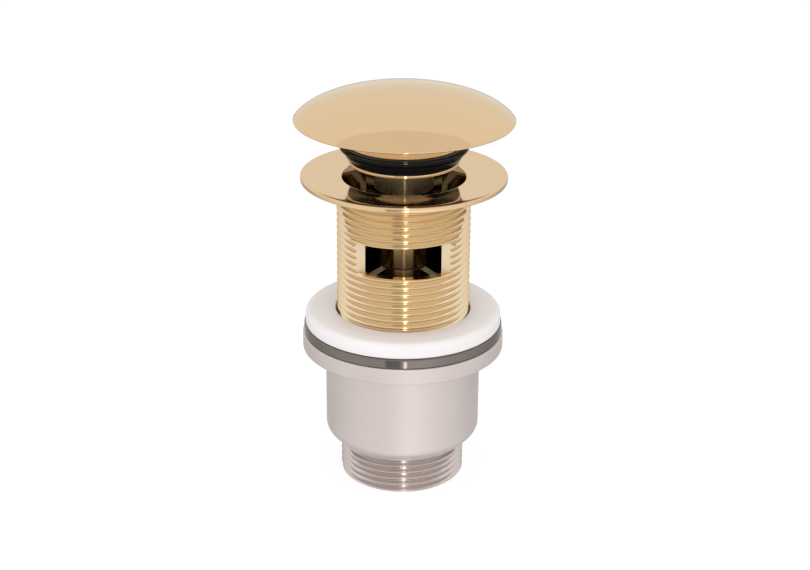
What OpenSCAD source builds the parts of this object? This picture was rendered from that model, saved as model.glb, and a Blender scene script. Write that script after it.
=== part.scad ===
// Pop up basin waste with a click-clack plug, a slotted tube and a screw-on outlet body.
// Sizes are in millimetres. The end of the outlet is at z = 0 and the plug stands open.

/* [Outlet body] */
// Major diameter of the outlet thread, G 1 1/4
outlet_thread_d = 41.91; // [40:0.01:44]
// Length of the outlet thread below the shoulder
outlet_thread_len = 13; // [10:0.5:20]
// Wall of the outlet, from its bore to the crest of its thread
outlet_wall = 3.2; // [2.6:0.1:5]
// Outer diameter of the cup
cup_d = 52.2; // [50:0.1:56]
// Step from the crest of the outlet thread to the foot of the shoulder, on the radius
shoulder_step = 1.55; // [1:0.05:2.5]
// Height of the coned shoulder
shoulder_h = 4; // [3:0.5:8]
// Rounding where the shoulder meets the cup
shoulder_round = 4; // [1:0.5:5]
// Height of the cone in the floor of the cup
floor_cone_h = 4; // [2:0.5:6]
// Height of the plain cup, from the shoulder to the flange
cup_h = 29.3; // [26:0.1:40]
// Step of the clamping flange inside the rim of the upper flange, on the radius
body_flange_inset = 0.2; // [0:0.1:2]
// Thickness of the clamping flange
body_flange_t = 5.6; // [4:0.1:8]
// Rounding where the cup meets the clamping flange
flange_fillet = 1.2; // [0.5:0.1:3]

/* [Washers] */
// Diameter of the slip ring
slip_ring_d = 66.6; // [60:0.1:72]
// Thickness of the slip ring
slip_ring_t = 3.2; // [1.5:0.1:4]
// Diameter of the basin washer
washer_d = 65.7; // [60:0.1:72]
// Thickness of the basin washer
washer_t = 5.1; // [4:0.1:10]
// Rounding of the basin washer's upper edge
washer_round = 2.2; // [1:0.1:3]
// Space from the basin washer to the flange, for the basin
basin_gap = 45.1; // [38:0.1:50]

/* [Flange and tube] */
// Diameter of the flange
flange_d = 68; // [62:0.1:76]
// Thickness of the flange at its rim
flange_t = 1.8; // [1.4:0.1:3]
// Depth of the dished face of the flange
flange_dish = 0.7; // [0.3:0.1:1.2]
// Width of the flat land along the rim of the flange
flange_land = 3.6; // [2:0.1:6]
// Major diameter of the tube's outside thread
tube_thread_d = 44.32; // [43:0.01:46]
// Wall of the tube, from its bore to the crest of its thread
tube_wall = 2.96; // [2.6:0.02:3.4]
// Length of the tube below the flange
tube_len = 65.3; // [60:0.1:70]
// Length of the smooth neck under the flange
neck_len = 3; // [1:0.1:5]
// Step of the neck over the crest of the thread, on the radius
neck_step = 0.2; // [0:0.05:0.4]
// Distance from the flange to the top of the overflow slots
slot_drop = 16.6; // [12:0.1:20]
// Height of the overflow slots
slot_h = 10.6; // [8:0.1:12]
// Depth of the overflow slots, from the crest of the thread
slot_depth = 7.5; // [6:0.1:8]
// Width of the seat's cone at its mouth
seat_d = 41; // [40.4:0.1:41.4]
// Slope of the seat's cone, radius for each millimetre of height
seat_slope = 0.56; // [0.5:0.01:0.7]
// Number of ribs in the spider
rib_count = 3; // [3:1:4]
// Thickness of a rib
rib_t = 3; // [2:0.1:4]
// Distance from the bottom of the slots to the top of the spider's boss
boss_drop = 2.3; // [1:0.1:5]
// Fall of a rib's upper edge, from the boss to the tube
rib_fall = 4.9; // [2:0.1:6]

/* [Plug] */
// Diameter of the mushroom cap
cap_d = 72.2; // [66:0.1:78]
// Height of the dome above its rim
dome_h = 10; // [6:0.1:12]
// Reach of the dome's ellipse past the rim, which sets how steep the rim is
dome_reach = 1.4; // [0.5:0.1:3]
// Depth of the cap's edge below its rim
cap_edge_h = 0.6; // [0.4:0.1:2]
// Thickness of the cap at its middle
cap_wall = 2.8; // [2:0.1:4]
// Width of the cap's lip
cap_lip = 2; // [1.5:0.1:4]
// Height of the cap's lip above the pad that carries the cap
cap_rise = 3.3; // [1:0.1:5]
// Rise of the plug from closed to open
plug_lift = 9.5; // [7:0.1:11]
// Height of the seal's cone, below its lip
seal_cone_h = 3.85; // [3:0.05:5]
// Height of the seal's lip
seal_lip_h = 1.7; // [1.2:0.1:2.5]
// Reach of the seal's lip past the mouth of the seat, on the radius
seal_lip = 0.7; // [0.3:0.1:1.5]
// Depth of the nick under the seal's lip
seal_nick = 0.4; // [0.2:0.1:0.6]
// Depth of the groove that holds the seal, behind its lower edge
seal_bite = 3; // [2:0.1:4]
// Thickness of the rim under the seal
plug_rim_t = 1; // [0.8:0.1:2]
// Height of the plain neck above the seal
plug_neck_h = 0.3; // [0.2:0.1:3]
// Step of the neck inside the mouth of the seat, on the radius
plug_neck_step = 0.9; // [0.5:0.1:1.5]
// Step of the rim inside the lower edge of the seal, on the radius
plug_rim_step = 0.2; // [0.1:0.05:0.5]
// Height of the flare between the neck and the cap
plug_flare = 3.7; // [2:0.1:5]
// Widening of the flare, on the radius
plug_flare_w = 1.2; // [0.5:0.1:4]
// Diameter of the guide skirt under the plug
skirt_d = 19.6; // [19:0.1:24]
// Length of the guide skirt
skirt_len = 8.6; // [6:0.1:9]

/* [Cartridge] */
// Diameter of the barrel
barrel_d = 15.2; // [14.6:0.1:16]
// Wall of the barrel
barrel_wall = 1.1; // [0.9:0.05:1.4]
// Depth of the two spanner flats near the top of the barrel
flats_depth = 0.5; // [0.3:0.05:0.6]
// Height of the spanner flats
flats_h = 5; // [3:0.1:8]
// Diameter of the push rod
rod_d = 6; // [5:0.1:6.5]
// Length of the gland inside the barrel
gland_len = 4.4; // [4:0.1:7]
// Thickness of the gland's head
gland_head_t = 1.2; // [1:0.1:2]
// Thickness of the O-ring
o_ring_t = 1.5; // [1:0.1:1.8]
// Height of the thrust collar
collar_h = 5.3; // [5:0.1:8]
// Diameter of the cross pin
pin_d = 1.5; // [1:0.1:2]
// Floor of the thrust collar under the rod
collar_floor = 1; // [0.6:0.1:1.5]
// Wall of the cam sleeve
sleeve_wall = 1.45; // [1.3:0.05:1.7]
// Depth of the tracks in the cam sleeve
track_depth = 0.8; // [0.6:0.05:1]
// Wall of the spigot that screws into the spider
spigot_wall = 0.8; // [0.7:0.05:1]
// Height of the rotor
rotor_h = 7.5; // [7:0.1:9]
// Wall of the rotor
rotor_wall = 0.975; // [0.8:0.025:1.1]
// Thickness of the rotor's roof
rotor_roof = 1.5; // [1:0.1:2]
// Distance from the top of the rotor to the top of its fins
fin_drop = 1; // [0.6:0.1:1.5]
// Height of the rotor's fins
fin_h = 5; // [3:0.1:6]
// Number of fins on the rotor and of tracks in the sleeve
track_count = 4; // [3:1:4]
// Width of a track in the sleeve, in degrees
track_angle = 44; // [40:1:50]
// Play of a fin in its track, in degrees
fin_play = 6; // [4:1:8]
// Turn of the rotor in one press, in degrees
rotor_step = 45; // [30:5:60]
// Wire of the return spring
spring_wire = 0.8; // [0.6:0.05:1]
// Coils of the return spring
spring_turns = 7; // [5:0.5:8]
// Thickness of the steel washer between the spring and the rotor
spring_washer_t = 0.4; // [0.3:0.05:0.6]
// Thickness of the screw that closes the barrel
spring_seat_t = 2.5; // [2:0.1:4]
// Width of the screwdriver slot in that screw
driver_slot_w = 1.6; // [1:0.1:2]
// Depth of the screwdriver slot
driver_slot_depth = 1; // [0.6:0.1:1.4]
// Thickness of the fibre washer under the barrel
fibre_t = 0.5; // [0.4:0.1:1.5]
// Distance across the flats of the lock nut
nut_flats = 13; // [11:0.1:13.4]
// Thickness of the lock nut
nut_t = 3.5; // [2.5:0.1:4]

/* [Clearances] */
// Between a thread and its mate, on the radius
thread_gap = 0.08; // [0.05:0.01:0.2]
// Between pieces that slide or turn, on the radius
running_gap = 0.05; // [0.02:0.01:0.1]
// Between pieces that pass each other loosely
loose_gap = 0.5; // [0.3:0.05:1]
// Between a moving piece and its stop
stop_gap = 0.3; // [0.1:0.05:0.5]
// Between the closed seal and its seat, on the radius
seal_gap = 0.15; // [0.05:0.01:0.3]
// Between the rotor and the sleeve, and between the rotor and its chamber, on the radius
rotor_gap = 0.15; // [0.1:0.01:0.2]
// Between the spring and the rotor round it, on the radius
spring_gap = 0.35; // [0.2:0.05:0.5]

/* [Edges] */
// Small rounding of turned edges
edge = 0.6; // [0.3:0.05:0.7]
// Bevel at the end of a thread or stud
bevel = 0.8; // [0.5:0.1:1.2]

/* [Hidden] */
$fn = 96;
// Small overlap of joined shapes and overshoot of cuts
eps = 0.01;
over = 1;

// Heights, from the outlet upwards
z_shoulder = outlet_thread_len;
z_cup = z_shoulder + shoulder_h;
z_body_flange = z_cup + cup_h;
z_body_top = z_body_flange + body_flange_t;
z_ring_top = z_body_top + slip_ring_t;
z_washer_top = z_ring_top + washer_t;
z_under = z_washer_top + basin_gap;
z_rim = z_under + flange_t;
z_tube_end = z_under - tube_len;
z_slot_top = z_under - slot_drop;
z_slot = z_slot_top - slot_h;
z_boss = z_slot - boss_drop;

// Tube
tube_r = tube_thread_d / 2;
bore_r = tube_r - tube_wall;
neck_r = tube_r + neck_step;
seat_r = seat_d / 2;
flange_r = flange_d / 2;
z_seat = z_rim - flange_dish;
z_bore = z_seat - (seat_r - bore_r) / seat_slope;

// Outlet body
outlet_r = outlet_thread_d / 2;
outlet_bore_r = outlet_r - outlet_wall;
cup_r = cup_d / 2;
body_flange_r = flange_r - body_flange_inset;
cup_bore_r = tube_r + thread_gap;
z_cup_floor = z_shoulder + floor_cone_h;
shoulder_r = outlet_r + shoulder_step;
shoulder_tilt = atan((cup_r - shoulder_r) / shoulder_h);
shoulder_run = shoulder_round * tan(shoulder_tilt / 2);

// Plug, in the open position
z_lip = z_seat + seal_gap + plug_lift;
z_seal = z_lip - seal_cone_h;
z_seal_top = z_lip + seal_lip_h;
seal_r = seat_r - seal_gap * (1 - seat_slope);
seal_low_r = seal_r - seal_cone_h * seat_slope;
lip_r = seat_r + seal_lip;
z_plug = z_seal - plug_rim_t;
z_neck_top = z_seal_top + plug_neck_h;
z_pad = z_neck_top + plug_flare;
plug_neck_r = seat_r - plug_neck_step;
pad_r = plug_neck_r + plug_flare_w;
groove_r = seal_low_r - seal_bite;
plug_rim_r = seal_low_r - plug_rim_step;
z_widest = z_pad + cap_rise + cap_edge_h;
cap_r = cap_d / 2;
z_nut = z_plug - nut_t;

// Cartridge, from the gland downwards
barrel_r = barrel_d / 2;
barrel_bore_r = barrel_r - barrel_wall;
rod_r = rod_d / 2;
z_gland_top = z_nut - plug_lift - stop_gap;
z_barrel_top = z_gland_top - gland_head_t;
z_gland = z_barrel_top - gland_len;
z_collar = z_gland - stop_gap / 3 - collar_h;
z_rotor_top = z_collar - stop_gap / 3;
z_rotor = z_rotor_top - rotor_h;
z_fin_top = z_rotor_top - fin_drop;
z_sleeve = z_fin_top - plug_lift + stop_gap;
z_spring = z_rotor - plug_lift - stop_gap;
z_barrel_end = z_spring - spring_seat_t;
z_barrel = z_boss + fibre_t;
sleeve_r = barrel_bore_r - running_gap;
sleeve_bore_r = sleeve_r - sleeve_wall;
track_r = sleeve_bore_r + track_depth;
collar_r = sleeve_bore_r - rotor_gap;
fin_r = track_r - rotor_gap;
chamber_r = fin_r + rotor_gap + running_gap;
spigot_r = chamber_r + spigot_wall;
boss_bore_r = spigot_r + running_gap;
boss_r = barrel_r;
boss_h = z_boss - z_barrel_end;
rotor_bore_r = collar_r - rotor_wall;
spring_r = rotor_bore_r - spring_gap - spring_wire / 2;
z_spring_top = z_rotor_top - rotor_roof - spring_washer_t;
fin_angle = track_angle - fin_play;
twist_per_mm = rotor_step / plug_lift;
o_ring_r = o_ring_t / 2;
o_ring_line = rod_r + running_gap + o_ring_r;
o_ring_seat_r = o_ring_line + o_ring_r + running_gap;
z_o_ring = z_gland + gland_len / 2;
z_pin = z_collar + collar_h / 2;
z_rod = z_collar + collar_floor;
z_stud_top = z_widest + dome_h - 2 * cap_wall;
skirt_r = skirt_d / 2;
skirt_bore_r = barrel_r + loose_gap;

gold = [0.86, 0.75, 0.55];
satin = [0.72, 0.69, 0.68];
steel = [0.45, 0.45, 0.47];
white = [0.95, 0.95, 0.93];
black = [0.06, 0.06, 0.06];
acetal = [0.9, 0.9, 0.86];
fibre = [0.55, 0.2, 0.15];

// Cross-section of a ring with its outer edges rounded
module ring_section(r_in, r_out, h, top_round, low_round) {
    translate([r_in, low_round])
        square([r_out - r_in, h - top_round - low_round]);
    translate([r_in, low_round])
        square([r_out - r_in - top_round, h - low_round]);
    translate([r_in, 0])
        square([r_out - r_in - low_round, h - top_round]);
    translate([r_out - top_round, h - top_round])
        circle(r = top_round);
    translate([r_out - low_round, low_round])
        circle(r = low_round);
}

// Hollow rounding of an inside corner, below height z and outside radius r
module fillet(r, z, size) {
    difference() {
        translate([r - eps, z - size])
            square(size + eps);
        translate([r + size, z - size])
            circle(r = size);
    }
}

// Round bar from z0 up to z1
module bar(r, z0, z1) {
    translate([0, 0, z0])
        cylinder(r = r, h = z1 - z0);
}

// Tube from z0 up to z1
module pipe(r_out, r_in, z0, z1) {
    difference() {
        bar(r_out, z0, z1);
        bar(r_in, z0 - over, z1 + over);
    }
}

// Hexagon bar from z0 up to z1
module hexagon(flats, z0, z1) {
    translate([0, 0, z0])
        cylinder(d = flats / cos(30), h = z1 - z0, $fn = 6);
}

// Domed cap: part of a flat ellipsoid outside, hollow under its rim, with a pad that takes the rod's stud
module mushroom_cap() {
    hollow_r = cap_r - cap_lip;
    hollow_h = dome_h + cap_edge_h - cap_wall;
    z_pad_top = z_widest - cap_edge_h + hollow_h * sqrt(1 - pow(pad_r / hollow_r, 2)) + cap_wall / 4;
    dome_r = cap_r + dome_reach;
    rim_share = sqrt(1 - pow(cap_r / dome_r, 2));
    dome_full = dome_h / (1 - rim_share);
    rim_angle = acos(cap_r / dome_r);
    step = (90 - rim_angle) / 25;
    z_centre = z_widest - dome_full * rim_share;
    outside = [for (i = [0:25])
        let (a = 90 - i * step)
        [dome_r * cos(a), z_centre + dome_full * sin(a)]];
    lip_mid = cap_r - cap_lip / 2;
    lip = [for (a = [-15:-15:-75]) [lip_mid + cap_lip / 2 * cos(a), z_widest + cap_edge_h * sin(a)]];
    inside = [for (a = [0:5:90]) [hollow_r * cos(a), z_widest - cap_edge_h + hollow_h * sin(a)]];
    color(gold)
        difference() {
            union() {
                rotate_extrude()
                    polygon(concat(outside, lip, inside));
                bar(pad_r, z_pad, z_pad_top);
            }
            bar(rod_r + running_gap, z_pad - over, z_stud_top + stop_gap);
        }
}

// Turned body of the plug: flare, neck, groove for the seal, rim and guide skirt
module plug_body() {
    color(gold)
        difference() {
            union() {
                rotate_extrude()
                    polygon([[0, z_plug], [plug_rim_r, z_plug], [plug_rim_r, z_seal], [groove_r, z_seal],
                             [groove_r, z_seal_top], [plug_neck_r, z_seal_top], [plug_neck_r, z_neck_top],
                             [pad_r, z_pad], [0, z_pad]]);
                bar(skirt_r, z_plug - skirt_len, z_plug + eps);
            }
            bar(skirt_bore_r, z_plug - skirt_len - over, z_plug);
            bar(rod_r + running_gap, z_plug - over, z_pad + over);
        }
}

// Rubber cone seal with a nick and a bulging lip above it
module plug_seal() {
    bulge = seal_lip_h / 4;
    color(black)
        rotate_extrude()
            polygon([[groove_r, z_seal], [seal_low_r, z_seal],
                     [seal_r - 2 * seal_nick * seat_slope, z_lip - 2 * seal_nick],
                     [seal_r - seal_nick * seat_slope - seal_nick, z_lip - seal_nick],
                     [seal_r, z_lip], [lip_r - bulge / 2, z_lip + bulge / 2], [lip_r, z_lip + bulge],
                     [lip_r - bulge / 2, z_lip + 2 * bulge], [plug_neck_r + bulge, z_seal_top - bulge / 2],
                     [plug_neck_r, z_seal_top], [groove_r, z_seal_top]]);
}

module rod_lock_nut() {
    color(gold)
        difference() {
            hexagon(nut_flats, z_nut, z_plug);
            bar(rod_r + running_gap, z_nut - over, z_plug + over);
        }
}

// Spindle with a stud at its top and a cross hole for the pin
module push_rod() {
    color(steel)
        difference() {
            rotate_extrude()
                polygon([[0, z_rod], [rod_r, z_rod], [rod_r, z_stud_top - bevel],
                         [rod_r - bevel, z_stud_top], [0, z_stud_top]]);
            pin_hole();
        }
}

module pin_hole() {
    translate([0, 0, z_pin])
        rotate([0, 90, 0])
            cylinder(d = pin_d + 2 * running_gap, h = 4 * collar_r, center = true);
}

module thrust_collar() {
    color(acetal)
        difference() {
            bar(collar_r, z_collar, z_collar + collar_h);
            bar(rod_r + running_gap, z_rod, z_collar + collar_h + over);
            pin_hole();
        }
}

module collar_pin() {
    color(steel)
        translate([0, 0, z_pin])
            rotate([0, 90, 0])
                cylinder(d = pin_d, h = 2 * collar_r - 2 * stop_gap, center = true);
}

// Slanted teeth round the axis, from z0 up by h, in line with the tracks of the sleeve
module teeth(r_root, r_tip, angle, z0, h) {
    arc = [for (a = [-angle / 2:angle / 4:angle / 2]) [r_tip * cos(a), r_tip * sin(a)]];
    root = [for (a = [angle / 2, -angle / 2]) [r_root * cos(a), r_root * sin(a)]];
    for (i = [0:track_count - 1])
        rotate(i * 360 / track_count + twist_per_mm * (z_sleeve - z0))
            translate([0, 0, z0])
                linear_extrude(height = h, twist = twist_per_mm * h, slices = 2 * round(h / 2), segments = 0)
                    polygon(concat(arc, root));
}

// Cup-shaped rotor with slanted fins that run in the tracks of the sleeve
module index_rotor() {
    color(acetal)
        difference() {
            union() {
                bar(collar_r, z_rotor, z_rotor_top);
                teeth(collar_r - rotor_wall / 2, fin_r, fin_angle, z_fin_top - fin_h, fin_h);
            }
            bar(rotor_bore_r, z_rotor - over, z_rotor_top - rotor_roof);
        }
}

// Steel washer that lets the rotor turn on the end of the spring
module spring_washer() {
    color(steel)
        pipe(rotor_bore_r - running_gap, spring_r - spring_wire, z_spring_top, z_spring_top + spring_washer_t);
}

// Point on the wire's cross-section, t along the coil and a round the wire
function coil_point(t, a, z0, z1) =
    let (turn = 360 * spring_turns * t, r = spring_r + spring_wire / 2 * cos(a))
    [r * cos(turn), r * sin(turn), z0 + (z1 - z0) * t + spring_wire / 2 * sin(a)];

module return_spring() {
    sides = 6;
    steps = 10 * spring_turns;
    z0 = z_spring + spring_wire / 2 + running_gap;
    z1 = z_spring_top - spring_wire / 2 - running_gap;
    points = [for (i = [0:steps], k = [0:sides - 1]) coil_point(i / steps, k * 360 / sides, z0, z1)];
    walls = [for (i = [0:steps - 1], k = [0:sides - 1])
        let (n = (k + 1) % sides)
        [i * sides + k, i * sides + n, (i + 1) * sides + n, (i + 1) * sides + k]];
    first = [for (k = [sides - 1:-1:0]) k];
    last = [for (k = [0:sides - 1]) steps * sides + k];
    color(steel)
        polyhedron(points = points, faces = concat(walls, [first], [last]), convexity = 10);
}

// Screw that closes the barrel, with a slot for a screwdriver
module spring_seat() {
    color(gold)
        difference() {
            bar(chamber_r - running_gap, z_barrel_end, z_spring);
            translate([-chamber_r, -driver_slot_w / 2, z_barrel_end - over])
                cube([2 * chamber_r, driver_slot_w, driver_slot_depth + over]);
        }
}

// Fixed sleeve with slanted tracks for the rotor's fins
module cam_sleeve() {
    color(acetal)
        difference() {
            pipe(sleeve_r, sleeve_bore_r, z_sleeve, z_gland);
            teeth(sleeve_bore_r - over, track_r, track_angle, z_sleeve - over, z_gland - z_sleeve + 2 * over);
        }
}

module gland_nut() {
    color(gold)
        difference() {
            union() {
                bar(barrel_bore_r - running_gap, z_gland, z_barrel_top + eps);
                bar(barrel_r, z_barrel_top, z_gland_top);
            }
            bar(rod_r + running_gap, z_gland - over, z_gland_top + over);
            bar(o_ring_seat_r, z_o_ring - o_ring_r - running_gap, z_o_ring + o_ring_r + running_gap);
        }
}

module rod_o_ring() {
    color(black)
        rotate_extrude()
            translate([o_ring_line, z_o_ring])
                circle(r = o_ring_r);
}

// Barrel of the cartridge with its spanner flats and the spigot that screws into the spider
module cartridge_housing() {
    color(gold)
        difference() {
            union() {
                bar(barrel_r, z_barrel, z_barrel_top);
                bar(spigot_r, z_barrel_end, z_barrel + eps);
            }
            bar(barrel_bore_r, z_sleeve, z_barrel_top + over);
            bar(chamber_r, z_barrel_end - over, z_sleeve + over);
            for (side = [0, 180])
                rotate(side)
                    translate([barrel_r - flats_depth, -barrel_r, z_barrel_top - flats_h])
                        cube([barrel_r, barrel_d, flats_h + over]);
        }
}

module cartridge_washer() {
    color(fibre)
        pipe(barrel_r, boss_bore_r, z_boss, z_barrel);
}

// One rib of the spider, with its upper edge falling from the boss to the tube
module rib() {
    inner = (boss_r + boss_bore_r) / 2;
    outer = (bore_r + tube_r) / 2;
    rotate([90, 0, 0])
        translate([0, 0, -rib_t / 2])
            linear_extrude(height = rib_t)
                polygon([[inner, z_boss - boss_h], [outer, z_boss - boss_h], [outer, z_boss - rib_fall],
                         [inner, z_boss - edge / 2]]);
}

// Flange, threaded tube, seat for the plug, overflow slots and spider, in one piece
module flange_tube() {
    slot_y = tube_r - slot_depth;
    dish_r = flange_r - flange_land;
    color(gold)
        difference() {
            union() {
                rotate_extrude()
                    difference() {
                        union() {
                            polygon([[bore_r, z_tube_end], [tube_r - bevel, z_tube_end],
                                     [tube_r, z_tube_end + bevel], [tube_r, z_under - neck_len],
                                     [neck_r, z_under - neck_len],
                                     [neck_r, z_under + eps], [bore_r, z_under + eps]]);
                            translate([0, z_under])
                                ring_section(bore_r, flange_r, flange_t, edge, edge);
                        }
                        polygon([[0, z_bore], [bore_r, z_bore], [seat_r, z_seat], [seat_r + edge, z_seat],
                                 [dish_r, z_rim], [dish_r, z_rim + over], [0, z_rim + over]]);
                    }
                pipe(boss_r, boss_bore_r, z_boss - boss_h, z_boss);
                for (i = [0:rib_count - 1])
                    rotate(90 + i * 360 / rib_count)
                        rib();
            }
            for (side = [0, 180])
                rotate(side)
                    translate([-tube_r - over, -tube_r - over, z_slot])
                        cube([2 * (tube_r + over), tube_r + over - slot_y, slot_h]);
        }
}

module basin_washer() {
    color(white)
        rotate_extrude()
            translate([0, z_ring_top])
                ring_section(tube_r + loose_gap, washer_d / 2, washer_t, washer_round, edge);
}

module slip_ring() {
    color(steel)
        rotate_extrude()
            translate([0, z_body_top])
                ring_section(tube_r + loose_gap, slip_ring_d / 2, slip_ring_t, edge / 2, edge / 2);
}

// Cup that screws onto the tube, with its clamping flange and the outlet thread
module outlet_body() {
    color(satin)
        difference() {
            rotate_extrude() {
                polygon([[0, 0], [outlet_r - bevel, 0], [outlet_r, bevel], [outlet_r, z_shoulder],
                         [shoulder_r, z_shoulder],
                         [cup_r - shoulder_run * sin(shoulder_tilt), z_cup - shoulder_run * cos(shoulder_tilt)],
                         [cup_r, z_cup + shoulder_run], [cup_r, z_body_top], [0, z_body_top]]);
                translate([cup_r - shoulder_round, z_cup + shoulder_run])
                    circle(r = shoulder_round);
                translate([0, z_body_flange])
                    ring_section(outlet_bore_r, body_flange_r, body_flange_t, edge, edge);
                fillet(cup_r, z_body_flange, flange_fillet);
            }
            bar(outlet_bore_r, -over, z_body_top);
            translate([0, 0, z_shoulder])
                cylinder(r1 = outlet_bore_r, r2 = cup_bore_r, h = floor_cone_h);
            bar(cup_bore_r, z_cup_floor - eps, z_body_top + over);
        }
}

mushroom_cap();
plug_body();
plug_seal();
rod_lock_nut();
push_rod();
thrust_collar();
collar_pin();
index_rotor();
spring_washer();
return_spring();
spring_seat();
cam_sleeve();
gland_nut();
rod_o_ring();
cartridge_housing();
cartridge_washer();
flange_tube();
basin_washer();
slip_ring();
outlet_body();
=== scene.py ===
"""Looks of a pop up basin waste, laid out as an add-on and run as a script."""

import math

import bpy
from mathutils import Matrix, Vector


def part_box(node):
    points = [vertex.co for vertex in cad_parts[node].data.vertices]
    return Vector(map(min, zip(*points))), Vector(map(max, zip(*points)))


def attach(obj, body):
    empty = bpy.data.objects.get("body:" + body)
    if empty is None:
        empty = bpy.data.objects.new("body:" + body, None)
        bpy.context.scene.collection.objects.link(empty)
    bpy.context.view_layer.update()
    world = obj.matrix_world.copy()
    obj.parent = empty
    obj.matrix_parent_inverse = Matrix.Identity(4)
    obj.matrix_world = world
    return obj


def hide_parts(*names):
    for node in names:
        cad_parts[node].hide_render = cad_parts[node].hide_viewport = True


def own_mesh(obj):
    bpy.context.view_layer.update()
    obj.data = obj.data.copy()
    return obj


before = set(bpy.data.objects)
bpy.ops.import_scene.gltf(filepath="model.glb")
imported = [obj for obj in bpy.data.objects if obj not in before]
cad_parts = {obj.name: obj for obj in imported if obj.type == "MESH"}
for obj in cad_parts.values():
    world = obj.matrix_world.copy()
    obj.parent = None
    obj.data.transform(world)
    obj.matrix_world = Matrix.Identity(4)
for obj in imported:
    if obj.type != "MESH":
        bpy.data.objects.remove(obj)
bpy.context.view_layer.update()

bl_info = {
    "name": "Pop Up Basin Waste",
    "version": (1, 0, 0),
    "blender": (4, 5, 0),
    "location": "View3D > Sidebar > Basin Waste",
    "description": "Models and finishes the pieces of a click-clack basin waste around its frame",
    "category": "Object",
}

# One millimetre, in metres
MM = 0.001
# Faces round a turned piece
AROUND = 128
# Distances within which points are merged, in metres
JOIN = 1e-6
FINE_JOIN = 1e-7
# Width and height of the photograph, in pixels
IMAGE_SIZE = (810, 570)
# Height that the flare of the plug takes from the top of the seal, in millimetres
SEAL_DROP = 0.35
# Radius that the seal and its seat gain with each millimetre of height
SEAT_SLOPE = 0.56


def low(node):
    """Lowest height of a frame node, in millimetres."""
    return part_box(node)[0].z / MM


def high(node):
    """Highest height of a frame node, in millimetres."""
    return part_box(node)[1].z / MM


def radius(node):
    """Widest radius of a frame node, in millimetres."""
    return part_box(node)[1].x / MM


# Sizes and colours that a user may change


def length(name, description, default):
    return bpy.props.FloatProperty(name=name, description=description, default=default * MM, unit="LENGTH",
                                   subtype="DISTANCE", precision=5)


def colour(name, description, default):
    return bpy.props.FloatVectorProperty(name=name, description=description, default=default,
                                         subtype="COLOR", size=3, min=0.0, max=1.0)


class WasteSizes(bpy.types.PropertyGroup):
    """Sizes of the detail that the frame leaves out"""

    pitch: length("Thread pitch", "Rise of both pipe threads in one turn", 2.309)
    thread_depth: length("Thread depth", "Depth of both pipe threads from crest to root", 1.3)
    tube_bore: length("Tube bore", "Radius of the bore of the tube", 19.2)
    outlet_bore: length("Outlet bore", "Radius of the bore of the outlet", 17.755)
    seat_mouth: length("Seat mouth", "Radius of the plug's seat where it meets the flange", 20.5)
    flange_dish: length("Flange dish", "Depth of the dished face of the flange", 0.7)
    lip_round: length("Lip rounding", "Rounding of the mouth of the seat", 0.6)
    edge_round: length("Edge rounding", "Rounding of the turned outer edges", 0.5)
    dome_height: length("Dome height", "Height of the cap's dome above its rim", 10.0)
    dome_reach: length("Dome reach", "Reach of the dome's ellipse past the rim", 1.4)
    plug_neck: length("Plug neck", "Radius of the plug's neck above the seal", 19.6)
    seal_groove: length("Seal groove", "Radius of the floor of the groove that holds the seal", 15.278)
    slot_plane: length("Slot plane", "Distance of the floor of an overflow slot from the axis", 14.66)
    slot_low: length("Slot bottom", "Height of the lower edge of the overflow slots", 78.1)
    slot_high: length("Slot top", "Height of the upper edge of the overflow slots", 88.7)


class WasteColours(bpy.types.PropertyGroup):
    """Colours of the finishes"""

    gold: colour("Gold", "Polished pale gold plating", (0.72, 0.52, 0.31))
    gold_deep: colour("Deep gold", "Gold plating in the thread", (0.78, 0.635, 0.435))
    gold_turned: colour("Turned gold", "Turned gold of the barrel and the boss", (0.7, 0.48, 0.23))
    # Darker than the turned gold: painted shade for the guide skirt, which sits under the plug
    gold_skirt_shaded: colour("Skirt", "Dark toned turned brass of the guide skirt", (0.52, 0.4, 0.255))
    # Paler than the cap's gold: a painted highlight for the flare, which mirrors the lit flange
    gold_flare_highlight: colour("Flare", "Bright gold of the plug's flare", (0.86, 0.72, 0.53))
    # Milled satin gold of the slot ends, made paler than the plating as a painted highlight; the rib tops
    # take it as painted light
    gold_milled_and_lit: colour("Milled gold", "Milled faces of the slots and the ribs", (0.74, 0.6, 0.41))
    # Dark gold of the bore, the mouth of the seat and the sides of the ribs: painted shade inside the tube
    gold_bore_shaded: colour("Bore", "Dark toned brass of the tube's bore", (0.28, 0.22, 0.145))
    nickel: colour("Nickel", "Satin nickel plating", (0.65, 0.582, 0.56))
    # Turned nickel of the tail, a touch darker than the cup's nickel as painted shade for the low tail
    nickel_tail_shaded: colour("Tail", "Turned nickel of the outlet thread", (0.59, 0.52, 0.495))
    # Dark base of the polished slip ring: a painted dark reflection, so the ring looks dark whatever it
    # mirrors
    ring: colour("Ring", "Polished dark steel of the slip ring", (0.2, 0.175, 0.16))
    washer: colour("Washer", "White rubber of the basin washer", (0.92, 0.885, 0.88))
    # Black of the rubber seals, also used as painted shade on the underside of the plug
    seal: colour("Seal", "Black rubber of the seals", (0.009, 0.009, 0.0095))
    acetal: colour("Acetal", "Moulded inner pieces", (0.82, 0.8, 0.74))
    fibre: colour("Fibre", "Pressed fibre washer", (0.03, 0.014, 0.01))
    steel: colour("Steel", "Bright steel of the rod and the spring", (0.55, 0.55, 0.56))
    brass: colour("Brass", "Bare turned brass inside", (0.62, 0.42, 0.16))
    backdrop: colour("Backdrop", "White of the floor and the background", (1.0, 1.0, 1.0))


def sizes():
    return bpy.context.scene.waste_sizes


def colours():
    return bpy.context.scene.waste_colours


# Modelling steps


def deselect():
    """Leaves edit mode with nothing selected."""
    if bpy.context.object and bpy.context.object.mode != "OBJECT":
        bpy.ops.object.mode_set(mode="OBJECT")
    bpy.ops.object.select_all(action="DESELECT")


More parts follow.
